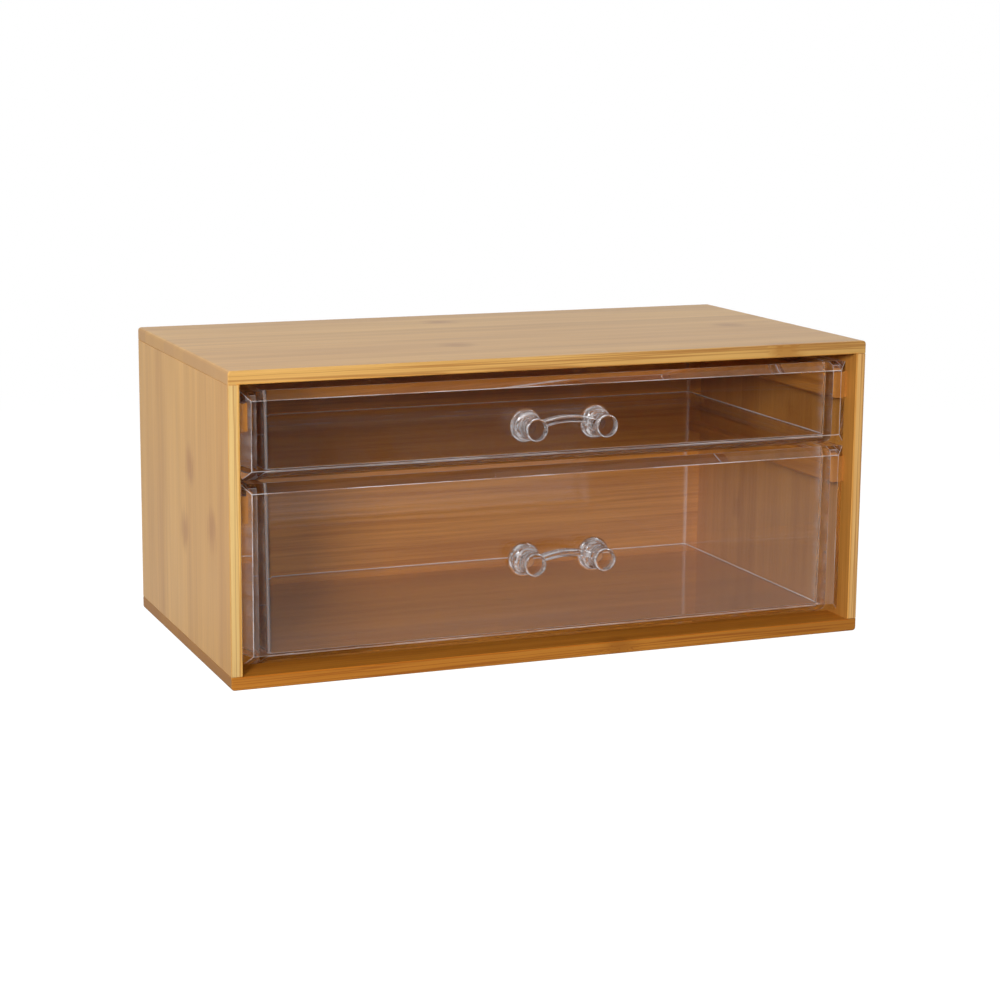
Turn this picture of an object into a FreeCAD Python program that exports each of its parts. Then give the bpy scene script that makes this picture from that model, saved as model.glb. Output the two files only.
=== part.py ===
import FreeCAD, Part
import math
import os

from FreeCAD import Vector

# Tabletop box of bamboo boards with two clear moulded drawers, one above the other.
# Millimetres. The origin is the centre of the casing's underside, +X is to the right as
# seen from the front, +Y is towards the back and +Z is up. Both drawers are shut.

# Casing
casing_width = 310.0
casing_depth = 160.0
casing_height = 140.0
panel_thickness = 6.0
side_thickness = 5.0
back_thickness = 5.0
back_rebate = 2.5
back_panel_play = 0.1
long_edge_round = 1.6
arris_round = 0.6
joint_arris = 0.25

# Pins that join the casing's boards, hidden in their thickness
dowel_diameter = 2.5
dowel_play = 0.05
dowel_end_play = 0.3
panel_dowel_count = 3
panel_dowel_inset = 24.0
panel_dowel_in_panel = 3.5
panel_dowel_in_side = 9.0
runner_dowel_count = 2
runner_dowel_inset = 30.0
runner_dowel_in_runner = 5.0
runner_dowel_in_side = 3.0

# Runners on the side boards, which carry the drawers by their rims
runner_width = 8.0
runner_height = 12.4
runner_round = 1.5
runner_setback = 1.2

# Drawer fronts, and the gaps round them in the casing's opening
front_recess = 3.0
front_thickness = 4.0
front_bevel_width = 4.0
front_bevel_depth = 3.4
front_lower_corner_round = 2.0
front_upper_corner_round = 0.8
front_side_gap = 2.0
gap_below_fronts = 3.6
gap_between_fronts = 1.8
gap_above_fronts = 3.9
lower_front_height = 80.0

# Trays behind the fronts
tray_side_play = 1.0
tray_wall = 3.0
tray_floor = 2.5
tray_inner_draft_degrees = 0.65
tray_outer_draft_degrees = 0.25
tray_floor_lift = 1.5
tray_inner_corner_round = 2.8
tray_outer_corner_round = 3.4
tray_inner_floor_round = 0.8
tray_outer_floor_round = 1.8
rim_thickness = 2.5
rim_side_gap = 2.5
rim_back_width = 2.4
rim_corner_round = 4.0
rim_edge_round = 0.7
lip_thickness = 2.5
lip_height = 5.3
lip_edge_round = 0.5
back_stop_play = 0.3
gate_mark_diameter = 6.0
gate_mark_depth = 0.4
gate_mark_place_share = 0.4

# Handles: two turned posts along Y and a bow between them
post_spacing = 34.0
handle_drop = 2.0
post_length = 14.5
post_base_radius = 6.5
post_base_length = 3.5
post_foot_flare = 1.5
post_waist_radius = 4.7
post_waist_start = 7.5
post_waist_end = 9.5
post_tip_radius = 5.3
post_tip_length = 3.5
post_tip_round = 1.2
peg_radius = 2.5
peg_length = 1.5
peg_play = 0.05
peg_end_play = 0.2
bow_height = 3.2
bow_depth = 5.0
bow_stand_off = 6.5
bow_rise = 3.7
bow_edge_round = 1.2

# What every cut runs past the face that it opens, and how near counts as touching
overrun = 1.0
near = 0.001

# Places that follow from the sizes above
front_y = -casing_depth / 2
rear_y = casing_depth / 2
bay_rear_y = rear_y - back_thickness
bay_half_width = casing_width / 2 - side_thickness
bay_floor_z = panel_thickness
bay_ceiling_z = casing_height - panel_thickness
face_y = front_y + front_recess
face_back_y = face_y + front_thickness
front_half_width = bay_half_width - front_side_gap
lower_front_z = bay_floor_z + gap_below_fronts
lower_rim_z = lower_front_z + lower_front_height
upper_front_z = lower_rim_z + gap_between_fronts
upper_rim_z = bay_ceiling_z - gap_above_fronts
runner_front_y = face_back_y + runner_setback
runner_inner_x = bay_half_width - runner_width
rim_half_width = bay_half_width - rim_side_gap
rim_back_y = bay_rear_y - back_stop_play
wall_half_width = runner_inner_x - tray_side_play
wall_back_y = rim_back_y - rim_back_width
inner_slope = math.tan(math.radians(tray_inner_draft_degrees))
outer_slope = math.tan(math.radians(tray_outer_draft_degrees))


# Shapes that several pieces use


def box(low_x, high_x, low_y, high_y, low_z, high_z):
    size = (high_x - low_x, high_y - low_y, high_z - low_z)
    return Part.makeBox(*size, Vector(low_x, low_y, low_z))


def edges_at(shape, **places):
    """The edges that lie wholly on each given plane, such as x=10, z=0."""
    def lies_there(edge):
        return all(
            abs(getattr(vertex.Point, axis) - place) < near
            for vertex in edge.Vertexes
            for axis, place in places.items()
        )
    return [edge for edge in shape.Edges if lies_there(edge)]


def rounded_rectangle(place, low_u, high_u, low_v, high_v, low_round, high_round):
    """A closed outline whose two corners at low_v and two at high_v have their own radii.

    place turns the flat coordinates u and v into a point in space."""
    corners = [
        (low_u, low_v, low_round, (0, 1), (1, 0)),
        (high_u, low_v, low_round, (-1, 0), (0, 1)),
        (high_u, high_v, high_round, (0, -1), (-1, 0)),
        (low_u, high_v, high_round, (1, 0), (0, -1)),
    ]
    middle_share = 1 - math.sqrt(0.5)
    stops = []
    arcs = []
    for u, v, radius, back, ahead in corners:
        start = place(u + radius * back[0], v + radius * back[1])
        end = place(u + radius * ahead[0], v + radius * ahead[1])
        stops.append((start, end))
        if radius > 0:
            inward = radius * middle_share
            middle = place(u + inward * (back[0] + ahead[0]), v + inward * (back[1] + ahead[1]))
            arcs.append(Part.Arc(start, middle, end).toShape())
        else:
            arcs.append(None)
    edges = []
    for index, arc in enumerate(arcs):
        if arc:
            edges.append(arc)
        end = stops[index][1]
        next_start = stops[(index + 1) % len(stops)][0]
        edges.append(Part.LineSegment(end, next_start).toShape())
    return Part.Wire(edges)


def flat_at(z):
    return lambda u, v: Vector(u, v, z)


def upright_at(y):
    return lambda u, v: Vector(u, y, v)


def cylinder_between(start, end, radius):
    along = end.sub(start)
    return Part.makeCylinder(radius, along.Length, start, along)


def evenly_spaced(low, high, count):
    if count < 2:
        return [(low + high) / 2]
    return [low + (high - low) * index / (count - 1) for index in range(count)]


# Casing


def panel_dowel_places():
    """Where each upright pin stands: in the middle of a side board's thickness."""
    centre_x = casing_width / 2 - side_thickness / 2
    rows = evenly_spaced(front_y + panel_dowel_inset, rear_y - panel_dowel_inset, panel_dowel_count)
    return [(side * centre_x, y) for side in (-1, 1) for y in rows]


def panel_dowels(joint_z, towards_panel, play, end_play):
    """Upright pins through the joint at joint_z; with play they are the holes for them."""
    pins = []
    for x, y in panel_dowel_places():
        in_panel = joint_z + towards_panel * (panel_dowel_in_panel + end_play)
        in_side = joint_z - towards_panel * (panel_dowel_in_side + end_play)
        radius = dowel_diameter / 2 + play
        pins.append(cylinder_between(Vector(x, y, in_side), Vector(x, y, in_panel), radius))
    return Part.makeCompound(pins)


def runner_dowels(side, top_z, play, end_play):
    """Level pins from a side board into one runner; with play they are their holes."""
    pins = []
    z = top_z - runner_height / 2
    low_y = runner_front_y + runner_dowel_inset
    for y in evenly_spaced(low_y, bay_rear_y - runner_dowel_inset, runner_dowel_count):
        in_runner = side * (bay_half_width - runner_dowel_in_runner - end_play)
        in_side = side * (bay_half_width + runner_dowel_in_side + end_play)
        radius = dowel_diameter / 2 + play
        pins.append(cylinder_between(Vector(in_runner, y, z), Vector(in_side, y, z), radius))
    return Part.makeCompound(pins)


def back_rebate_space():
    """The room that the boards leave round the rear for the back panel."""
    half_width = bay_half_width + back_rebate
    low_z = bay_floor_z - back_rebate
    high_z = bay_ceiling_z + back_rebate
    return box(-half_width, half_width, bay_rear_y, rear_y + overrun, low_z, high_z)


def level_panel(joint_z, outer_z):
    """The top or the bottom board, from its joint with the side boards to its outer face."""
    half_width = casing_width / 2
    board = box(-half_width, half_width, front_y, rear_y, min(joint_z, outer_z), max(joint_z, outer_z))
    ends = [edge for side in (-1, 1) for edge in edges_at(board, x=side * half_width, z=outer_z)]
    board = board.makeFillet(long_edge_round, ends)
    fronts = edges_at(board, y=front_y, z=outer_z) + edges_at(board, y=rear_y, z=outer_z)
    board = board.makeFillet(arris_round, fronts)
    joints = [edge for side in (-1, 1) for edge in edges_at(board, x=side * half_width, z=joint_z)]
    board = board.makeChamfer(joint_arris, joints)
    towards_panel = math.copysign(1, outer_z - joint_z)
    holes = panel_dowels(joint_z, towards_panel, dowel_play, dowel_end_play)
    return board.cut(back_rebate_space()).cut(holes)


def side_panel(side):
    """One side board, between the top and bottom panels."""
    outer_x = side * casing_width / 2
    inner_x = side * bay_half_width
    low_x = min(outer_x, inner_x)
    high_x = max(outer_x, inner_x)
    board = box(low_x, high_x, front_y, rear_y, bay_floor_z, bay_ceiling_z)
    uprights = edges_at(board, x=outer_x, y=front_y) + edges_at(board, x=outer_x, y=rear_y)
    board = board.makeFillet(arris_round, uprights)
    joints = edges_at(board, x=outer_x, z=bay_floor_z) + edges_at(board, x=outer_x, z=bay_ceiling_z)
    board = board.makeChamfer(joint_arris, joints)
    board = board.cut(back_rebate_space())
    board = board.cut(panel_dowels(bay_ceiling_z, 1, dowel_play, dowel_end_play))
    board = board.cut(panel_dowels(bay_floor_z, -1, dowel_play, dowel_end_play))
    for rim_z in (lower_rim_z, upper_rim_z):
        board = board.cut(runner_dowels(side, rim_z - lip_height, dowel_play, dowel_end_play))
    return board


def back_panel():
    """The rear board, which drops into the rebate and ends flush with the other boards."""
    reach = back_rebate - back_panel_play
    half_width = bay_half_width + reach
    return box(-half_width, half_width, bay_rear_y, rear_y, bay_floor_z - reach, bay_ceiling_z + reach)


def runner(side, top_z):
    """A strip on a side board. Its top is level with the underside of the drawer's lip."""
    outer_x = side * bay_half_width
    inner_x = side * runner_inner_x
    low_z = top_z - runner_height
    strip = box(min(outer_x, inner_x), max(outer_x, inner_x), runner_front_y, bay_rear_y, low_z, top_z)
    inner = edges_at(strip, x=inner_x, z=low_z) + edges_at(strip, x=inner_x, z=top_z)
    strip = strip.makeFillet(runner_round, inner + edges_at(strip, x=inner_x, y=runner_front_y))
    return strip.cut(runner_dowels(side, top_z, dowel_play, dowel_end_play))


# Drawers


def drawer_front(low_z, high_z):
    """The thick clear front: a broad bevel all round its face, and a narrow land behind it."""
    land_y = face_y + front_bevel_depth
    face_half_width = front_half_width - front_bevel_width
    face = rounded_rectangle(
        upright_at(face_y),
        -face_half_width, face_half_width,
        low_z + front_bevel_width, high_z - front_bevel_width,
        0, 0,
    )
    land = rounded_rectangle(
        upright_at(land_y),
        -front_half_width, front_half_width,
        low_z, high_z,
        0, 0,
    )
    bevelled = Part.makeLoft([face, land], True, True)
    slab = box(-front_half_width, front_half_width, land_y, face_back_y, low_z, high_z)
    outline = rounded_rectangle(
        upright_at(face_y - overrun),
        -front_half_width, front_half_width,
        low_z, high_z,
        front_lower_corner_round, front_upper_corner_round,
    )
    through = Vector(0, front_thickness + overrun + overrun, 0)
    return bevelled.fuse(slab).common(Part.Face(outline).extrude(through))


def tray_level(z, rim_z, slope, inset, front_round, back_round):
    """The tray's outline at a height, inset from its outer wall; it narrows towards the floor."""
    drawn_in = inset + (rim_z - z) * slope
    half_width = wall_half_width - drawn_in
    back = wall_back_y - drawn_in
    return rounded_rectangle(
        flat_at(z), -half_width, half_width, face_back_y, back, front_round, back_round
    )


def tray_outside(under_z, rim_z):
    corner = tray_outer_corner_round
    levels = [tray_level(z, rim_z, outer_slope, 0, 0, corner) for z in (under_z, rim_z)]
    block = Part.makeLoft(levels, True, True)
    against_front = edges_at(block, y=face_back_y, z=under_z)
    lower = [edge for edge in edges_at(block, z=under_z) if not edge.isSame(against_front[0])]
    return block.makeFillet(tray_outer_floor_round, lower)


def tray_inside(floor_z, rim_z):
    corner = tray_inner_corner_round
    levels = [
        tray_level(z, rim_z, inner_slope, tray_wall, corner, corner)
        for z in (floor_z, rim_z + overrun)
    ]
    block = Part.makeLoft(levels, True, True)
    return block.makeFillet(tray_inner_floor_round, edges_at(block, z=floor_z))


def tray_rim(rim_z):
    """The flange round the tray's top, with its outer edge eased."""
    low_z = rim_z - rim_thickness
    outline = rounded_rectangle(
        flat_at(low_z),
        -rim_half_width, rim_half_width, face_back_y, rim_back_y,
        0, rim_corner_round,
    )
    flange = Part.Face(outline).extrude(Vector(0, 0, rim_thickness))
    against_front = edges_at(flange, y=face_back_y, z=rim_z)
    upper = [edge for edge in edges_at(flange, z=rim_z) if not edge.isSame(against_front[0])]
    return flange.makeFillet(rim_edge_round, upper)


def tray_lip(side, rim_z):
    """The flange's turned-down edge, whose flat underside slides on a runner."""
    outer_x = side * rim_half_width
    inner_x = side * (rim_half_width - lip_thickness)
    low_z = rim_z - lip_height
    end_y = rim_back_y - rim_corner_round
    low_x = min(outer_x, inner_x)
    high_x = max(outer_x, inner_x)
    lip = box(low_x, high_x, face_back_y, end_y, low_z, rim_z - rim_thickness)
    lower = edges_at(lip, x=outer_x, z=low_z) + edges_at(lip, x=inner_x, z=low_z)
    return lip.makeFillet(lip_edge_round, lower)


def gate_mark(under_z):
    """The shallow round recess that the mould's gate leaves under the floor."""
    y = face_back_y + (wall_back_y - face_back_y) * gate_mark_place_share
    top = Vector(0, y, under_z + gate_mark_depth)
    return cylinder_between(Vector(0, y, under_z - overrun), top, gate_mark_diameter / 2)


def tray(low_z, rim_z):
    under_z = low_z + tray_floor_lift
    body = drawer_front(low_z, rim_z).fuse([
        tray_outside(under_z, rim_z),
        tray_rim(rim_z),
        tray_lip(-1, rim_z),
        tray_lip(1, rim_z),
    ])
    body = body.removeSplitter()
    body = body.cut(tray_inside(under_z + tray_floor, rim_z))
    body = body.cut(gate_mark(under_z))
    depth = peg_length + peg_end_play
    for x in post_places():
        axis_z = handle_axis_z(low_z, rim_z)
        start = Vector(x, face_y - overrun, axis_z)
        end = Vector(x, face_y + depth, axis_z)
        body = body.cut(cylinder_between(start, end, peg_radius + peg_play))
    return body


# Handles


def post_places():
    return (-post_spacing / 2, post_spacing / 2)


def handle_axis_z(low_z, rim_z):
    return (low_z + rim_z) / 2 - handle_drop


def post_outline():
    """Half the post's outline: x is the distance from its axis, y runs from the front's face."""
    tip_start = post_length - post_tip_length
    shoulder_radius = (post_base_radius + post_waist_radius) / 2
    shoulder_y = (post_base_length + post_waist_start) / 2
    shoulder_in_share = 0.3
    shoulder_in = (post_base_radius - post_waist_radius) * shoulder_in_share
    neck_radius = (post_waist_radius + post_tip_radius) / 2
    neck_y = (post_waist_end + tip_start) / 2
    neck_in_share = 0.25
    neck_in = (post_tip_radius - post_waist_radius) * neck_in_share
    bend_share = 1 - math.sqrt(0.5)

    def at(radius, out):
        return Vector(radius, -out, 0)

    foot_radius = post_base_radius + post_foot_flare
    foot_bend = post_foot_flare * bend_share
    tip_bend = post_tip_round * bend_share
    tip_bend_start = post_length - post_tip_round
    pieces = [
        Part.LineSegment(at(0, -peg_length), at(peg_radius, -peg_length)),
        Part.LineSegment(at(peg_radius, -peg_length), at(peg_radius, 0)),
        Part.LineSegment(at(peg_radius, 0), at(foot_radius, 0)),
        Part.Arc(
            at(foot_radius, 0),
            at(post_base_radius + foot_bend, foot_bend),
            at(post_base_radius, post_foot_flare),
        ),
        Part.LineSegment(at(post_base_radius, post_foot_flare), at(post_base_radius, post_base_length)),
        Part.Arc(
            at(post_base_radius, post_base_length),
            at(shoulder_radius - shoulder_in, shoulder_y),
            at(post_waist_radius, post_waist_start),
        ),
        Part.LineSegment(at(post_waist_radius, post_waist_start), at(post_waist_radius, post_waist_end)),
        Part.Arc(
            at(post_waist_radius, post_waist_end),
            at(neck_radius - neck_in, neck_y),
            at(post_tip_radius, tip_start),
        ),
        Part.LineSegment(at(post_tip_radius, tip_start), at(post_tip_radius, tip_bend_start)),
        Part.Arc(
            at(post_tip_radius, tip_bend_start),
            at(post_tip_radius - tip_bend, post_length - tip_bend),
            at(post_tip_radius - post_tip_round, post_length),
        ),
        Part.LineSegment(at(post_tip_radius - post_tip_round, post_length), at(0, post_length)),
        Part.LineSegment(at(0, post_length), at(0, -peg_length)),
    ]
    return Part.Wire([piece.toShape() for piece in pieces])


def handle_post(x, axis_z):
    """A round post with a flared foot, a waist where the bow joins it and an eased tip."""
    whole = Part.Face(post_outline()).revolve(Vector(0, 0, 0), Vector(0, 1, 0), 360)
    whole.translate(Vector(x, face_y, axis_z))
    return whole


def handle_bow(axis_z):
    """The flat bar between the posts, arched upwards, with its four long edges rounded."""
    half_span = post_spacing / 2
    arch_radius = (half_span ** 2 + bow_rise ** 2) / (2 * bow_rise)
    half_angle = math.asin(half_span / arch_radius)
    centre_z = axis_z + bow_rise - arch_radius
    back_y = face_y - bow_stand_off

    def on_arch(radius, angle):
        return Vector(radius * math.sin(angle), back_y, centre_z + radius * math.cos(angle))

    outer = arch_radius + bow_height / 2
    inner = arch_radius - bow_height / 2
    edges = [
        Part.Arc(on_arch(outer, -half_angle), on_arch(outer, 0), on_arch(outer, half_angle)).toShape(),
        Part.LineSegment(on_arch(outer, half_angle), on_arch(inner, half_angle)).toShape(),
        Part.Arc(on_arch(inner, half_angle), on_arch(inner, 0), on_arch(inner, -half_angle)).toShape(),
        Part.LineSegment(on_arch(inner, -half_angle), on_arch(outer, -half_angle)).toShape(),
    ]
    bar = Part.Face(Part.Wire(edges)).extrude(Vector(0, -bow_depth, 0))
    long_edges = [
        edge
        for y in (back_y, back_y - bow_depth)
        for edge in edges_at(bar, y=y)
        if isinstance(edge.Curve, Part.Circle)
    ]
    return bar.makeFillet(bow_edge_round, long_edges)


def handle(low_z, rim_z):
    axis_z = handle_axis_z(low_z, rim_z)
    left, right = [handle_post(x, axis_z) for x in post_places()]
    return left.fuse([right, handle_bow(axis_z)])


# The parts, each in its own file


def build_parts():
    parts = {
        "top_panel": level_panel(bay_ceiling_z, casing_height),
        "bottom_panel": level_panel(bay_floor_z, 0),
        "left_side_panel": side_panel(-1),
        "right_side_panel": side_panel(1),
        "back_panel": back_panel(),
        "top_panel_dowels": panel_dowels(bay_ceiling_z, 1, 0, 0),
        "bottom_panel_dowels": panel_dowels(bay_floor_z, -1, 0, 0),
    }
    all_runner_dowels = []
    for level, low_z, rim_z in (
        ("upper", upper_front_z, upper_rim_z),
        ("lower", lower_front_z, lower_rim_z),
    ):
        for side_name, side in (("left", -1), ("right", 1)):
            parts[f"{level}_{side_name}_runner"] = runner(side, rim_z - lip_height)
            all_runner_dowels.append(runner_dowels(side, rim_z - lip_height, 0, 0))
        parts[f"{level}_tray"] = tray(low_z, rim_z)
        parts[f"{level}_handle"] = handle(low_z, rim_z)
    solids = [solid for group in all_runner_dowels for solid in group.Solids]
    parts["runner_dowels"] = Part.makeCompound(solids)
    return parts


os.makedirs("parts", exist_ok=True)
for name, shape in build_parts().items():
    shape.exportStep(f"parts/{name}.step")
    span = shape.BoundBox
    spans = [round(length, 2) for length in (span.XLength, span.YLength, span.ZLength)]
    state = "valid" if shape.isValid() else "NOT VALID"
    print(name, state, len(shape.Solids), "solids", round(shape.Volume, 1), "mm3", *spans)
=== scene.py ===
# Finishes, light and camera for the bamboo drawer box with its two clear drawers.
from collections import namedtuple
from math import hypot, radians

import bmesh
import bpy
from mathutils import Matrix, Vector


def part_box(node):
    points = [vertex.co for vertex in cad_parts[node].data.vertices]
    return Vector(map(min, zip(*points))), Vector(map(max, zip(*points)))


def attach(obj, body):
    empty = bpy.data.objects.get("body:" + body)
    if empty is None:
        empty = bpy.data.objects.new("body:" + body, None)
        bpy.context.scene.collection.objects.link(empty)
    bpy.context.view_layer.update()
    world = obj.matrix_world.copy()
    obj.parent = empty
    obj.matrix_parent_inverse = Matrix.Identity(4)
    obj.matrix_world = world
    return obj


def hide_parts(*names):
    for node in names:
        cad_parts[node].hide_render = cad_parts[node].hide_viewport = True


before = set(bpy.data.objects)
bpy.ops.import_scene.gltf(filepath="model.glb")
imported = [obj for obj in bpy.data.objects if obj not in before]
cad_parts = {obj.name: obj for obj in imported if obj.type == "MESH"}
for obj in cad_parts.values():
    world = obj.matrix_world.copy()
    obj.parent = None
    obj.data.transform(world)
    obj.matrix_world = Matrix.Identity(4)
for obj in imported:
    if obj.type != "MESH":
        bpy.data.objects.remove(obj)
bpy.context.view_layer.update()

# Camera, as it stood for the photograph
CAMERA_PLACE = (-0.41911, -1.02509, 0.28009)
CAMERA_AZIMUTH = radians(-21.116)
CAMERA_ELEVATION = radians(10.432)
CAMERA_ROLL = radians(0.285)
SENSOR_WIDTH = 36.0
LENS_LENGTH = 84.076
FRAME_SHIFT = (0.05, -0.035)

# A pair such as FAR_OFF holds the ends of a fade, whose share is 0 up to the first of them and 1
# past the second

# Surroundings: the floor's half width and colour, its glow near the box, where that rises to
# white, and the weak even light from all round
FLOOR_HALF = 6.0
FLOOR_COLOUR = (0.3, 0.3, 0.3, 1)
FLOOR_GLOW = 0.93
FAR_OFF = (0.25, 0.8)
WHITE = (1, 1, 1, 1)
SKY_FILL = 0.03

# A straight look at the sky already counts as one turn
SKY_DEPTH = 1

# How often light may turn in all, turn in clear plastic, be mirrored and pass what only shades it
MOST_TURNS = 64
MOST_PLASTIC_TURNS = 64
MOST_MIRROR_TURNS = 32
MOST_SHADES = 32

# How bright the room is in front of the box, as its clear fronts mirror it, and where it dims;
# the table near the box is brighter, more so to the right
ROOM_DIM = 0.045
IN_ROOM = (-0.15, 0.3)
TABLE_GLOW = 0.35
TABLE_SLOPE = 0.9
PAST_TABLE = (0.3, 0.56)

# Softboxes round the point that they all face: degrees from straight in front towards the left,
# degrees above it, how far off and how wide in metres, watts, and whether glossy faces mirror it
AIM = (0, -0.04, 0.08)
Softbox = namedtuple("Softbox", "to_left above distance width watts mirrored")
SOFTBOXES = {
    "front_softbox": Softbox(18, 18, 1.1, 0.2, 4.4, False),
    "key_softbox": Softbox(38, 18, 1.1, 0.2, 8.2, False),
    "side_softbox": Softbox(100, 20, 1.1, 0.45, 2.1, True),
    "overhead_softbox": Softbox(90, 75, 1.2, 0.6, 1.1, True),
    "rear_softbox": Softbox(-142, 28, 1.8, 1.0, 9.0, False),
    "left_glint": Softbox(60, 42, 1.0, 0.14, 0.5, True),
    "right_glint": Softbox(-55, 38, 1.0, 0.14, 0.5, True),
}

# Axes of the frame, and how far along one a face must look to count as facing that way
X, Y, Z = 0, 1, 2
FACING = (0.6, 0.8)

# A fade that tells 0 from 1 and more
AT_HALF = (0.4, 0.6)

# Bamboo: its strips and seams, its knots with their dark hearts and ragged rims, and how far its
# fibres swirl and wave, in metres
STRIP_WIDTH = 0.018
SEAM_SHARE = 0.02
KNOT_LENGTH = 0.013
KNOT_WIDTH = 0.0105
KNOT_DEPTH = 0.012
KNOT_HEART_SHARE = 0.1
KNOT_RAG_SHARE = 0.8
SWIRL_REACH = 0.0022
WAVE_REACH = 0.0007

# Bamboo: how many times a metre each pattern changes, across the fibres and along them
FIBRES = (1400, 16)
LAYERS = (620, 5)
STREAKS = (420, 6)
RAGS = (420, 90)
SWIRLS = (180, 180)
CLOUDS = (90, 9)
WAVES = (60, 16)

# Bamboo: how far each pattern moves the shade between brown and pale, on faces, edges or inside,
# and how far the strips differ in their end grain
STRIP_CONTRAST = 0.38
EDGE_STRIP_CONTRAST = 0.12
CLOUD_CONTRAST = 1.1
FIBRE_CONTRAST = 0.9
STREAK_CONTRAST = 0.5
END_STRIP_CONTRAST = 0.3

# Bamboo: how wide its layer threads are, and how strongly threads, knots, seams and end grain show
THREAD_WIDTH_SHARE = 0.06
EDGE_THREAD_WIDTH_SHARE = 0.1
THREAD_SHARE = 0.07
EDGE_THREAD_SHARE = 0.7
KNOT_SHARE = 0.7
SEAM_DARK_SHARE = 0.12
END_GRAIN_SHARE = 0.75

# Bamboo: the bump of its fibres, the depth of its threads beside it, and the roughness of its
# lacquer, rougher along fibres and on end grain
BUMP_STRENGTH = 0.25
BUMP_HEIGHT = 0.0001
THREAD_DEPTH_SHARE = 0.5
ROUGHNESS = 0.34
FIBRE_ROUGHNESS = 0.16
END_ROUGHNESS = 0.15

# Bamboo: its pale and its brown parts, the threads between its layers, its knots and end grain
PALE = (0.74, 0.44, 0.125)
BROWN = (0.53, 0.27, 0.062)
THREAD = (0.36, 0.14, 0.03)
KNOT = (0.4, 0.17, 0.03)
END_GRAIN = (0.5, 0.28, 0.105)

# Where in an endless block of bamboo the first board, the runners and the pins were cut
FIRST_CUT = 0.37
RUNNER_CUT = 7.2
CROSS_PIN_CUT = 8.1
UPRIGHT_PIN_CUT = 9.4

# The tone of a board that is neither paler nor browner than these
PLAIN = (1, 1, 1)

# Inside the box the bamboo is painted darker and browner, as painted shade: by how much, how far off
# the boards' faces that reaches, and where it ends, as shares of the way there from the middle
INSIDE_SHADE = (1.05, 0.86, 0.55, 1)
BAY_MARGIN = 0.0002
PAST_BAY = (1.0, 1.01)

# How a board looks: the axis that its fibres follow and the one from strip to strip, its knots,
# the tones of its faces, some of them painted light and shade, and of its edges, its shine, and how
# streaky it is inside the box
Look = namedtuple("Look", "grain across knots tone edge_tone shine streaky")

# Clear plastic: its tint, what each of its faces lets through to light that goes on to bamboo,
# the white painted on it as highlights and glints, how much a face has to mirror to trap light and
# how often that light gets out, and how rough that painted white is, less so where it is silvery
PLASTIC_TINT = (0.975, 0.972, 0.98, 1)
LIGHT_THROUGH = (0.93, 0.925, 0.92, 1)
HIGHLIGHT_WHITE = (0.9, 0.87, 0.88, 1)
PLASTIC_IOR = 1.57
TRAPPED = (0.9, 1.0)
TRAPPED_LEAK = 0.25
HIGHLIGHT_ROUGHNESS = 0.4
SILVER_POLISH = 0.25

# Clear plastic: how many times a metre its slight waves, the streaks of painted highlight at its side
# wall ends, along its eased edges and on its handles change, and how high the waves are
MOULD_WAVES = (24, 24, 24)
WALL_STREAKS = (60, 8, 500)
EDGE_STRETCHES = (45, 45, 45)
HANDLE_STREAKS = (180, 900, 500)
MOULD_BUMP_STRENGTH = 0.03
MOULD_BUMP_HEIGHT = 0.001

# Clear plastic: how much painted highlight upright rounded edges, floor edges, wall ends, eased edges
# and handles get, how silvery the handles' painted highlight is, and how far behind its front's face
# a tray gets it
UPRIGHT_HIGHLIGHT = 0.16
FLOOR_HIGHLIGHT = 0.5
WALL_END_HIGHLIGHT = 0.2
EASED_HIGHLIGHT = 0.5
HANDLE_HIGHLIGHT = 0.8
LEAST_EASED_HIGHLIGHT = 0.06
LEAST_HANDLE_HIGHLIGHT = 0.02
HANDLE_SILVER = 0.6
FRONT_THICKNESS = 0.004
FRONT_MARGIN = 0.0002
PAST_WALL_END = (0.006, 0.015)

# Clear plastic: how far along an axis a face must look to be flat, a side wall, a rounded floor
# edge or a handle's flat end, and which part of each streaky pattern gets painted highlight
FLAT = (0.8, 0.96)
SIDE_WALL = (0.96, 0.99)
FLOOR_EDGE = (0.15, 0.45)
HANDLE_END = (0.8, 0.97)
WALL_STREAK_HIGHLIGHT = (0.3, 0.7)
STRETCH_HIGHLIGHT = (0.25, 0.75)
HANDLE_STREAK_HIGHLIGHT = (0.3, 0.6)

# Where a handle's foot is bonded to a drawer's front, in metres
FOOT_RADIUS = 0.008
SOCKET_REACH = 0.0027
SOCKET_DEPTH = 0.0016
TOUCH = 0.000001

# Edges of the clear mouldings: which are eased, and by how much
FLAT_ANGLE = radians(0.1)
SHARP_ANGLE = radians(28)
LONG_EDGE = 0.004
EASED_EDGE = 0.00022
EASED_SLOT = 2


class Value:
    """A number that changes over a surface. Sums written on it add Math nodes."""

    def __init__(self, graph, socket):
        self.graph = graph
        self.socket = socket

    def maths(self, operation, *terms):
        return self.graph.add("ShaderNodeMath", dict(enumerate(terms)), operation=operation)

    def __add__(self, other):
        return self.maths("ADD", self, other)

    def __sub__(self, other):
        return self.maths("SUBTRACT", self, other)

    def __rsub__(self, other):
        return self.maths("SUBTRACT", other, self)

    def __mul__(self, other):
        return self.maths("MULTIPLY", self, other)

    def __truediv__(self, other):
        return self.maths("DIVIDE", self, other)

    def __abs__(self):
        return self.maths("ABSOLUTE", self)

    __radd__ = __add__
    __rmul__ = __mul__


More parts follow.
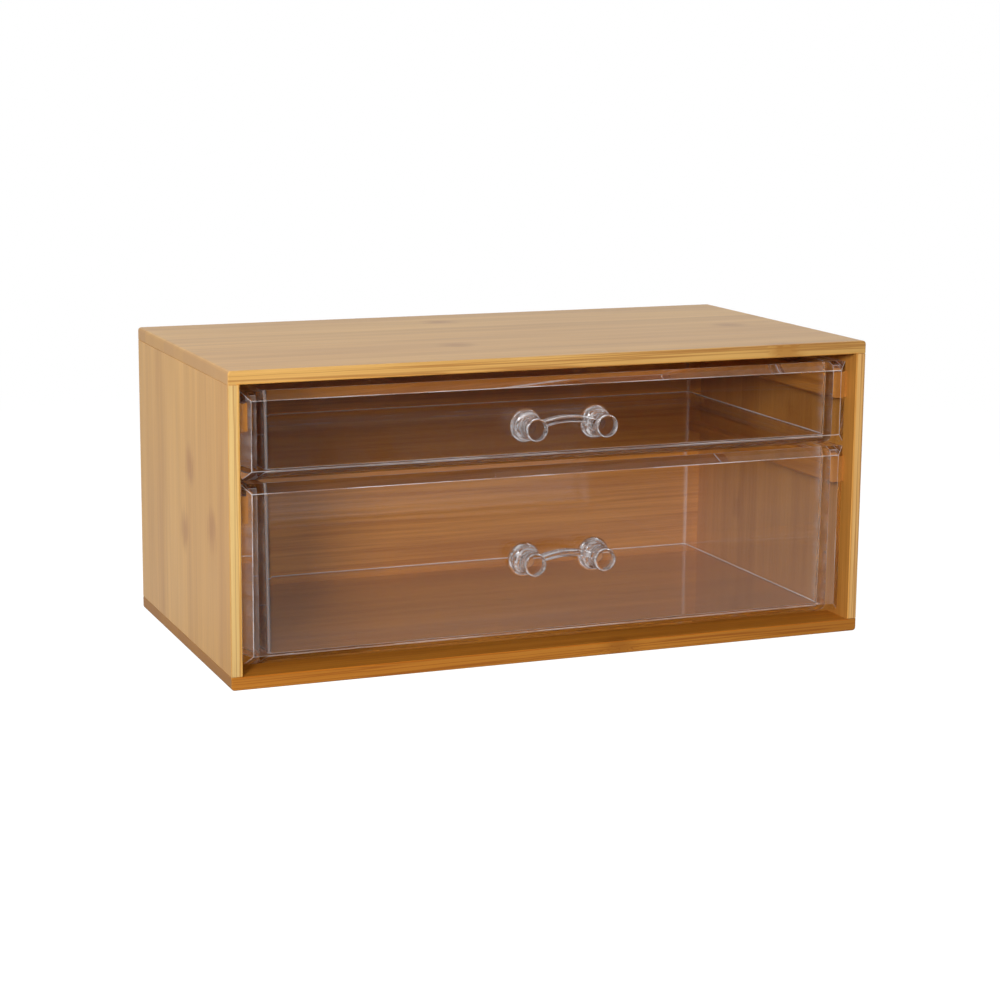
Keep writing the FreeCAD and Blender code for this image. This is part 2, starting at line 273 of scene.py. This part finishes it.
class Graph:
    """The nodes of one material or of the world."""

    def __init__(self, owner):
        owner.use_nodes = True
        self.tree = owner.node_tree
        self.tree.nodes.clear()

    def add(self, kind, inputs=None, output=0, **settings):
        """Adds a node, sets it up, fills its sockets and gives back one of its outputs."""
        node = self.tree.nodes.new(kind)
        for name, setting in settings.items():
            setattr(node, name, setting)
        for key, value in (inputs or {}).items():
            if isinstance(value, Value):
                self.tree.links.new(value.socket, node.inputs[key])
            else:
                node.inputs[key].default_value = value
        return Value(self, node.outputs[output]) if node.outputs else None

    def place(self):
        """Where a point lies in the frame, in metres."""
        return self.add("ShaderNodeTexCoord", output="Object")

    def facing(self):
        """The way that the surface faces in the frame."""
        return self.add("ShaderNodeTexCoord", output="Normal")

    def part(self, vector, axis):
        """One part of a vector."""
        return self.add("ShaderNodeSeparateXYZ", {0: vector}, axis)

    def vector(self, operation, *terms, output=0):
        return self.add("ShaderNodeVectorMath", dict(enumerate(terms)), output, operation=operation)

    def fade(self, value, low, high):
        """Rises smoothly from 0 at low to 1 at high."""
        sockets = {"Value": value, "From Min": low, "From Max": high}
        return self.add("ShaderNodeMapRange", sockets, interpolation_type="SMOOTHSTEP")

    def any(self, count):
        """1 where a whole number is more than 0."""
        return self.fade(count, *AT_HALF)

    def noise(self, vector, detail=2.0, roughness=0.5):
        """Soft noise about one unit from bump to bump."""
        sockets = {"Vector": vector, "Scale": 1.0, "Detail": detail, "Roughness": roughness}
        return self.add("ShaderNodeTexNoise", sockets)

    def random(self, value):
        return self.add("ShaderNodeTexWhiteNoise", {"W": value}, noise_dimensions="1D")

    def blend(self, share, first, second, mode="MIX"):
        """Mixes two colours."""
        sockets = {0: share, 6: first, 7: second}
        return self.add("ShaderNodeMix", sockets, 2, data_type="RGBA", blend_type=mode)

    def bump(self, height, strength, distance):
        """The way that a surface faces once small heights are raised on it."""
        sockets = {"Strength": strength, "Distance": distance, "Height": height}
        return self.add("ShaderNodeBump", sockets)

    def light_path(self, name):
        return self.add("ShaderNodeLightPath", output=name)

    def seen(self):
        """1 where the camera looks straight at this, in a mirror or through clear plastic."""
        seen = self.light_path("Is Camera Ray") + self.light_path("Is Glossy Ray")
        seen = seen + self.light_path("Is Transmission Ray")
        seen = seen.maths("MINIMUM", seen, 1.0)
        return seen * (1 - self.any(self.light_path("Diffuse Depth")))

    def mirrored(self, straight_depth=0):
        """1 where a look at this has been mirrored at least once on its way."""
        turns = self.light_path("Ray Depth") - self.light_path("Transmission Depth")
        return self.any(turns - straight_depth)

    def in_room(self, place):
        """1 on the side of the room that the box's fronts face."""
        return self.fade(0.0 - self.part(place, Y), *IN_ROOM)

    def emission(self, strength):
        return self.add("ShaderNodeEmission", {"Color": WHITE, "Strength": strength})

    def background(self, strength):
        return self.add("ShaderNodeBackground", {"Color": WHITE, "Strength": strength})

    def mix_shader(self, share, first, second):
        return self.add("ShaderNodeMixShader", {0: share, 1: first, 2: second})


def stretched(graph, place, grain, pattern):
    """Squeezes space across the fibres and draws it out along them, as a pattern asks."""
    across, along = pattern
    scale = [across, across, across]
    scale[grain] = along
    return graph.vector("MULTIPLY", place, scale)


def knot_marks(graph, place, grain, across, knots):
    """How near a point is to one of the board's knots: 1 in its middle, 0 past its reach."""
    reach = [KNOT_DEPTH, KNOT_DEPTH, KNOT_DEPTH]
    reach[grain] = KNOT_LENGTH
    reach[across] = KNOT_WIDTH
    ragged = (graph.noise(stretched(graph, place, grain, RAGS)) - 0.5) * KNOT_RAG_SHARE
    marks = 0.0
    for centre in knots:
        offset = graph.vector("SUBTRACT", place, centre)
        distance = graph.vector("LENGTH", graph.vector("DIVIDE", offset, reach), output="Value")
        marks = 1 - graph.fade(distance + ragged, KNOT_HEART_SHARE, 1.0) + marks
    return marks


def toned(colour, tone):
    """A colour in a board's own tone."""
    return [value * share for value, share in zip(colour, tone)] + [1]


def in_bay(graph, place):
    """1 on the faces that look into the box, 0 on the others."""
    left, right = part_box("left_side_panel")[1].x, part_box("right_side_panel")[0].x
    front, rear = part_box("bottom_panel")[0].y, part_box("back_panel")[0].y
    floor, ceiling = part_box("bottom_panel")[1].z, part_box("top_panel")[0].z
    centre = Vector((left + right, front + rear, floor + ceiling)) / 2
    reach = Vector((right - left, rear - front, ceiling - floor)) / 2
    reach += Vector((BAY_MARGIN, BAY_MARGIN, BAY_MARGIN))
    offset = graph.vector("ABSOLUTE", graph.vector("SUBTRACT", place, centre))
    share = graph.vector("DIVIDE", offset, reach)
    furthest = graph.part(share, X).maths("MAXIMUM", graph.part(share, X), graph.part(share, Y))
    furthest = furthest.maths("MAXIMUM", furthest, graph.part(share, Z))
    return 1 - graph.fade(furthest, *PAST_BAY)


def bamboo(name, look, cut):
    """Bamboo strips glued side by side, under a thin satin lacquer.

    cut says where in an endless block of bamboo the board comes from, so that no two look alike."""
    grain, across, knots, tone, edge_tone, shine, streaky = look
    material = bpy.data.materials.new(name)
    graph = Graph(material)
    place = graph.place()
    facing = graph.facing()
    edge = graph.fade(abs(graph.part(facing, across)), *FACING)
    end = graph.fade(abs(graph.part(facing, grain)), *FACING)

    # The strips, each of its own tone, and the seams between them
    strips = graph.part(place, across) / STRIP_WIDTH + cut
    strip_tone = graph.random(strips.maths("FLOOR", strips))
    seam = graph.fade(abs(strips.maths("FRACT", strips) - 0.5), 0.5 - SEAM_SHARE, 0.5)

    # Knots, where the fibres swirl, and the slow waves of all fibres
    marks = knot_marks(graph, place, grain, across, knots)
    drift = graph.noise(stretched(graph, place, grain, SWIRLS)) - 0.5
    waves = graph.noise(stretched(graph, place, grain, WAVES)) - 0.5
    shift = marks * drift * SWIRL_REACH * 2 + waves * WAVE_REACH * 2
    sideways = [1, 1, 1]
    sideways[grain] = 0
    sway = graph.vector("MULTIPLY", shift, sideways)
    fibre_place = graph.vector("ADD", graph.vector("ADD", place, sway), (cut, cut, cut))

    # Fibres, the thin dark threads between their layers, and broad cloudy patches
    bay = in_bay(graph, place)
    fibre_space = stretched(graph, fibre_place, grain, FIBRES)
    fibres = graph.noise(fibre_space, detail=3.0, roughness=0.6)
    layers = graph.noise(stretched(graph, fibre_place, grain, LAYERS), detail=0.0)
    thread_width = THREAD_WIDTH_SHARE + edge * (EDGE_THREAD_WIDTH_SHARE - THREAD_WIDTH_SHARE)
    threads = 1 - graph.fade(abs(layers - 0.5), 0.0, thread_width)
    streaks = graph.noise(stretched(graph, fibre_place, grain, STREAKS))
    clouds = graph.noise(stretched(graph, fibre_place, grain, CLOUDS))

    strip_contrast = STRIP_CONTRAST - edge * (STRIP_CONTRAST - EDGE_STRIP_CONTRAST)
    shade = 0.5 + (strip_tone - 0.5) * strip_contrast + (clouds - 0.5) * CLOUD_CONTRAST
    shade = shade + (fibres - 0.5) * (FIBRE_CONTRAST + bay * FIBRE_CONTRAST)
    shade = shade + (streaks - 0.5) * (STREAK_CONTRAST + bay * streaky)
    colour = graph.blend(shade, toned(BROWN, tone), toned(PALE, tone))
    edge_colour = graph.blend(shade, toned(BROWN, edge_tone), toned(PALE, edge_tone))
    colour = graph.blend(edge, colour, edge_colour)
    thread_share = THREAD_SHARE + edge * (EDGE_THREAD_SHARE - THREAD_SHARE)
    colour = graph.blend(threads * thread_share, colour, toned(THREAD, edge_tone))
    colour = graph.blend(marks * KNOT_SHARE, colour, toned(KNOT, tone))
    colour = graph.blend(seam * (1 - edge) * SEAM_DARK_SHARE, colour, toned(THREAD, tone))
    end_share = end * (END_GRAIN_SHARE - (strip_tone - 0.5) * END_STRIP_CONTRAST)
    colour = graph.blend(end_share, colour, toned(END_GRAIN, tone))
    # Painted shade: faces inside the box are multiplied darker and browner
    colour = graph.blend(bay, colour, INSIDE_SHADE, "MULTIPLY")

    normal = graph.bump(fibres - threads * THREAD_DEPTH_SHARE, BUMP_STRENGTH, BUMP_HEIGHT)
    surface = graph.add("ShaderNodeBsdfPrincipled", {
        "Base Color": colour,
        "Roughness": ROUGHNESS + fibres * FIBRE_ROUGHNESS + end * END_ROUGHNESS,
        "Specular IOR Level": shine,
        "Normal": normal,
    })
    graph.add("ShaderNodeOutputMaterial", {"Surface": surface})
    return material


def clear_plastic(name, painted_highlights, silver):
    """Polished clear moulded plastic. Lamps' light passes straight through to what lies behind it.

    Its second argument takes the graph and gives back where the faces are painted white as
    highlights and glints, and silver says how metallic that painted white looks."""
    material = bpy.data.materials.new(name)
    graph = Graph(material)
    waves = graph.noise(graph.vector("MULTIPLY", graph.place(), MOULD_WAVES), detail=1.0)
    normal = graph.bump(waves, MOULD_BUMP_STRENGTH, MOULD_BUMP_HEIGHT)
    glossy = graph.add("ShaderNodeBsdfPrincipled", {
        "Base Color": PLASTIC_TINT,
        "Roughness": 0.0,
        "IOR": PLASTIC_IOR,
        "Transmission Weight": 1.0,
        "Normal": normal,
    })
    # The white painted on as highlights and glints, partly metallic on the handles
    highlight = graph.add("ShaderNodeBsdfPrincipled", {
        "Base Color": HIGHLIGHT_WHITE,
        "Metallic": silver,
        "Roughness": HIGHLIGHT_ROUGHNESS - silver * SILVER_POLISH,
        "IOR": PLASTIC_IOR,
    })
    plastic = graph.mix_shader(painted_highlights(graph), glossy, highlight)
    clear = graph.add("ShaderNodeBsdfTransparent", {"Color": LIGHT_THROUGH})
    fresnel = graph.add("ShaderNodeFresnel", {"IOR": PLASTIC_IOR})
    from_inside = graph.add("ShaderNodeNewGeometry", output="Backfacing")
    leak = graph.fade(fresnel, *TRAPPED) * from_inside * TRAPPED_LEAK
    shadow_ray = graph.light_path("Is Shadow Ray")
    by_lamp = shadow_ray.maths("MAXIMUM", shadow_ray, graph.light_path("Is Diffuse Ray"))
    straight_on = by_lamp.maths("MAXIMUM", by_lamp, leak)
    surface = graph.mix_shader(straight_on, plastic, clear)
    graph.add("ShaderNodeOutputMaterial", {"Surface": surface})
    return material


def painted_tray_highlights(graph):
    """Where a tray is painted white as highlights: at its rounded edges, and where its side walls
    meet its front.
    """
    facing = graph.vector("ABSOLUTE", graph.facing())
    squarely = graph.part(facing, X).maths("MAXIMUM", graph.part(facing, X), graph.part(facing, Y))
    squarely = squarely.maths("MAXIMUM", squarely, graph.part(facing, Z))
    depth = graph.part(graph.place(), Y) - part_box("lower_tray")[0].y
    behind_front = graph.fade(depth, FRONT_THICKNESS - FRONT_MARGIN, FRONT_THICKNESS + FRONT_MARGIN)
    towards_floor = graph.fade(graph.part(facing, Z), *FLOOR_EDGE)
    highlight = UPRIGHT_HIGHLIGHT + towards_floor * (FLOOR_HIGHLIGHT - UPRIGHT_HIGHLIGHT)
    rounded = (1 - graph.fade(squarely, *FLAT)) * highlight
    end_streaks = graph.noise(graph.vector("MULTIPLY", graph.place(), WALL_STREAKS))
    near_front = 1 - graph.fade(depth, *PAST_WALL_END)
    wall_end = graph.fade(graph.part(facing, X), *SIDE_WALL) * near_front
    streaky_end = wall_end * graph.fade(end_streaks, *WALL_STREAK_HIGHLIGHT) * WALL_END_HIGHLIGHT
    return (rounded + streaky_end) * behind_front


def painted_edge_highlights(graph):
    """Where the thin eased edges are painted white as highlights, in long uneven stretches."""
    stretches = graph.noise(graph.vector("MULTIPLY", graph.place(), EDGE_STRETCHES))
    return graph.fade(stretches, *STRETCH_HIGHLIGHT) * EASED_HIGHLIGHT + LEAST_EASED_HIGHLIGHT


def painted_handle_highlights(graph):
    """Where a handle's sides are painted white and silvery as highlights, in soft streaks. Its flat
    ends stay clear.
    """
    turned = 1 - graph.fade(abs(graph.part(graph.facing(), Y)), *HANDLE_END)
    streaks = graph.noise(graph.vector("MULTIPLY", graph.place(), HANDLE_STREAKS))
    return graph.fade(streaks, *HANDLE_STREAK_HIGHLIGHT) * turned * HANDLE_HIGHLIGHT + LEAST_HANDLE_HIGHLIGHT


def round_long_edges(form):
    """Eases the long straight edges of a moulding, as polishing does."""
    bmesh.ops.dissolve_limit(
        form,
        angle_limit=FLAT_ANGLE,
        verts=form.verts,
        edges=form.edges,
        delimit={"MATERIAL"},
    )
    folds = [edge for edge in form.edges if edge.is_manifold]
    long_edges = [
        edge
        for edge in folds
        if edge.calc_length() > LONG_EDGE and edge.calc_face_angle() > SHARP_ANGLE
    ]
    bmesh.ops.bevel(
        form,
        geom=long_edges,
        offset=EASED_EDGE,
        offset_type="OFFSET",
        segments=2,
        profile=0.5,
        affect="EDGES",
        material=EASED_SLOT,
    )


def bonded_drawer(drawer):
    """A tray and its handle as one clear moulding, with no air between them at the bond."""
    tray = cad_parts[drawer + "_tray"].data
    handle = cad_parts[drawer + "_handle"].data
    low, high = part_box(drawer + "_handle")
    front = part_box(drawer + "_tray")[0].y
    post_height = low.z + FOOT_RADIUS
    post_place = high.x - FOOT_RADIUS

    def in_socket(points):
        centre = sum((Vector(point) for point in points), Vector()) / len(points)
        reach = hypot(abs(centre.x) - post_place, centre.z - post_height)
        return reach < SOCKET_REACH and max(y for x, y, z in points) < front + SOCKET_DEPTH

    def at_bond(points, on_tray):
        if on_tray:
            return max(y for x, y, z in points) < front + TOUCH or in_socket(points)
        return min(y for x, y, z in points) > front - TOUCH

    form = bmesh.new()
    found = {}
    for slot, mesh in enumerate((tray, handle)):
        for face in mesh.polygons:
            points = [tuple(mesh.vertices[corner].co) for corner in face.vertices]
            if at_bond(points, mesh == tray) or len(set(points)) < len(points):
                continue
            for point in points:
                if point not in found:
                    found[point] = form.verts.new(point)
            form.faces.new([found[point] for point in points]).material_index = slot
    rims = [edge for edge in form.edges if edge.is_boundary]
    bmesh.ops.triangle_fill(form, edges=rims, use_beauty=True, normal=(0, -1, 0))
    round_long_edges(form)
    mesh = bpy.data.meshes.new(drawer + "_drawer_moulding")
    form.to_mesh(mesh)
    form.free()
    mesh.shade_smooth()
    mesh.set_sharp_from_angle(angle=SHARP_ANGLE)
    moulding = add_object(drawer + "_drawer_moulding", mesh)
    flats_first = moulding.modifiers.new("flats_first", "WEIGHTED_NORMAL")
    flats_first.keep_sharp = True
    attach(moulding, drawer + "_drawer")
    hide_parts(drawer + "_tray", drawer + "_handle")
    return moulding


def finish_node(node, material):
    """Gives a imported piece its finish."""
    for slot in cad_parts[node].material_slots:
        slot.material = material


def finish_box():
    """Finishes every piece of the box."""
    top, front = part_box("top_panel")[1].z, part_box("top_panel")[0].y
    left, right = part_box("left_side_panel")[0].x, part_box("right_side_panel")[1].x
    top_knots = [
        (-0.009, 0.052, top),
        (-0.033, -0.032, top),
        (0.122, -0.005, top),
        (0.112, front, 0.1375),
    ]
    bottom_knots = [(0.03, front, 0.003)]
    left_knots = [(left, -0.015, 0.0885), (left, -0.0045, 0.0564), (left, -0.0515, 0.0658)]
    right_knots = [(right, -0.02, 0.1), (right, 0.031, 0.041)]
    boards = {
        # The top is toned slightly paler and bluer than plain: painted light and sheen on it
        "top_panel": Look(X, Y, top_knots, (1.04, 1.02, 1.04), (0.97, 0.97, 1.05), 0.6, 0.5),
        # The bottom is browner bamboo, and its faces are toned darker still as painted shade on the
        # floor inside the box
        "bottom_panel": Look(X, Y, bottom_knots, (0.69, 0.55, 0.37), (0.7, 0.47, 0.22), 0.25, 1.5),
        "left_side_panel": Look(Z, Y, left_knots, (0.98, 0.93, 0.92), (1.02, 1.23, 1.83), 0.25, 0.3),
        # The right side is toned darker than the left: painted shade on its inner face
        "right_side_panel": Look(Z, Y, right_knots, (0.78, 0.74, 0.85), (1.2, 1.25, 1.65), 0.25, 0.3),
        # The back is toned darker and browner: painted shade, as it stands deep inside the box
        "back_panel": Look(X, Z, [], (0.93, 0.8, 0.69), (0.93, 0.86, 0.8), 0.25, 2.0),
    }
    for order, (node, look) in enumerate(boards.items()):
        finish_node(node, bamboo(node + "_bamboo", look, order + FIRST_CUT))
    strip_look = Look(Y, Z, [], (0.85, 0.72, 0.65), (0.85, 0.72, 0.65), 0.25, 2.0)
    strip = bamboo("runner_bamboo", strip_look, RUNNER_CUT)
    for level in ("upper", "lower"):
        for side in ("left", "right"):
            finish_node(f"{level}_{side}_runner", strip)
    cross_look = Look(X, Z, [], PLAIN, PLAIN, 0.5, 0.5)
    cross_pin = bamboo("cross_pin_bamboo", cross_look, CROSS_PIN_CUT)
    finish_node("runner_dowels", cross_pin)
    upright_look = Look(Z, Y, [], PLAIN, PLAIN, 0.5, 0.5)
    upright_pin = bamboo("upright_pin_bamboo", upright_look, UPRIGHT_PIN_CUT)
    finish_node("top_panel_dowels", upright_pin)
    finish_node("bottom_panel_dowels", upright_pin)
    tray_plastic = clear_plastic("tray_plastic", painted_tray_highlights, 0.0)
    handle_plastic = clear_plastic("handle_plastic", painted_handle_highlights, HANDLE_SILVER)
    edge_plastic = clear_plastic("edge_plastic", painted_edge_highlights, 0.0)
    for drawer in ("upper", "lower"):
        moulding = bonded_drawer(drawer)
        moulding.data.materials.append(tray_plastic)
        moulding.data.materials.append(handle_plastic)
        moulding.data.materials.append(edge_plastic)


def add_object(name, data):
    thing = bpy.data.objects.new(name, data)
    bpy.context.scene.collection.objects.link(thing)
    return thing


def make_camera():
    """Stands the camera where the photograph was taken from."""
    lens = bpy.data.cameras.new("photo_camera")
    lens.sensor_width = SENSOR_WIDTH
    lens.lens = LENS_LENGTH
    lens.shift_x, lens.shift_y = FRAME_SHIFT
    camera = add_object("photo_camera", lens)
    turn = Matrix.Rotation(CAMERA_AZIMUTH, 4, "Z")
    tilt = Matrix.Rotation(radians(90) - CAMERA_ELEVATION, 4, "X")
    roll = Matrix.Rotation(CAMERA_ROLL, 4, "Z")
    camera.matrix_world = Matrix.Translation(CAMERA_PLACE) @ turn @ tilt @ roll
    bpy.context.scene.camera = camera


def make_floor():
    """A wide pale floor, white to the camera, that keeps the box's shadow."""
    mesh = bpy.data.meshes.new("floor")
    corners = [(-FLOOR_HALF, -FLOOR_HALF, 0), (FLOOR_HALF, -FLOOR_HALF, 0)]
    corners += [(FLOOR_HALF, FLOOR_HALF, 0), (-FLOOR_HALF, FLOOR_HALF, 0)]
    mesh.from_pydata(corners, [], [range(len(corners))])
    floor = add_object("floor", mesh)
    material = bpy.data.materials.new("pale_floor")
    graph = Graph(material)
    place = graph.place()
    lit = graph.add("ShaderNodeBsdfDiffuse", {"Color": FLOOR_COLOUR})
    near_box = graph.add("ShaderNodeAddShader", {0: lit, 1: graph.emission(FLOOR_GLOW)})
    distance = graph.vector("LENGTH", place, output="Value")
    far_off = graph.fade(distance, *FAR_OFF)
    white = graph.mix_shader(far_off, near_box, graph.emission(1.0))
    table = 1 - graph.fade(0.0 - graph.part(place, Y), *PAST_TABLE)
    table = table * (graph.part(place, X) * TABLE_SLOPE + TABLE_GLOW)
    room = graph.mix_shader(table, graph.emission(ROOM_DIM), graph.emission(1.0))
    looked_at = graph.mix_shader(graph.mirrored() * graph.in_room(place), white, room)
    surface = graph.mix_shader(graph.seen(), lit, looked_at)
    graph.add("ShaderNodeOutputMaterial", {"Surface": surface})
    mesh.materials.append(material)


def make_sky():
    """A plain white backdrop, a weak even fill on the box, and a dim room in front of it."""
    world = bpy.data.worlds.new("studio")
    bpy.context.scene.world = world
    graph = Graph(world)
    direction = graph.add("ShaderNodeTexCoord", output="Generated")
    dimmed = graph.mirrored(SKY_DEPTH) * graph.in_room(direction)
    backdrop = graph.mix_shader(dimmed, graph.background(1.0), graph.background(ROOM_DIM))
    sky = graph.mix_shader(graph.seen(), graph.background(SKY_FILL), backdrop)
    graph.add("ShaderNodeOutputWorld", {"Surface": sky})


def make_softbox(name, softbox):
    """A square lamp of soft light, which the camera itself doesn't see."""
    light = bpy.data.lights.new(name, "AREA")
    light.size = softbox.width
    light.energy = softbox.watts
    lamp = add_object(name, light)
    turn = Matrix.Rotation(radians(-softbox.to_left), 4, "Z")
    tilt = Matrix.Rotation(radians(90 - softbox.above), 4, "X")
    reach = Matrix.Translation((0, 0, softbox.distance))
    lamp.matrix_world = Matrix.Translation(AIM) @ turn @ tilt @ reach
    lamp.visible_camera = False
    lamp.visible_glossy = softbox.mirrored
    lamp.visible_transmission = softbox.mirrored


def set_light_paths():
    """Lets light cross all the walls of both drawers."""
    scene = bpy.context.scene
    scene.view_settings.view_transform = "Standard"
    scene.cycles.max_bounces = MOST_TURNS
    scene.cycles.transmission_bounces = MOST_PLASTIC_TURNS
    scene.cycles.glossy_bounces = MOST_MIRROR_TURNS
    scene.cycles.transparent_max_bounces = MOST_SHADES


set_light_paths()
make_camera()
make_floor()
make_sky()
for softbox_name, softbox in SOFTBOXES.items():
    make_softbox(softbox_name, softbox)
finish_box()
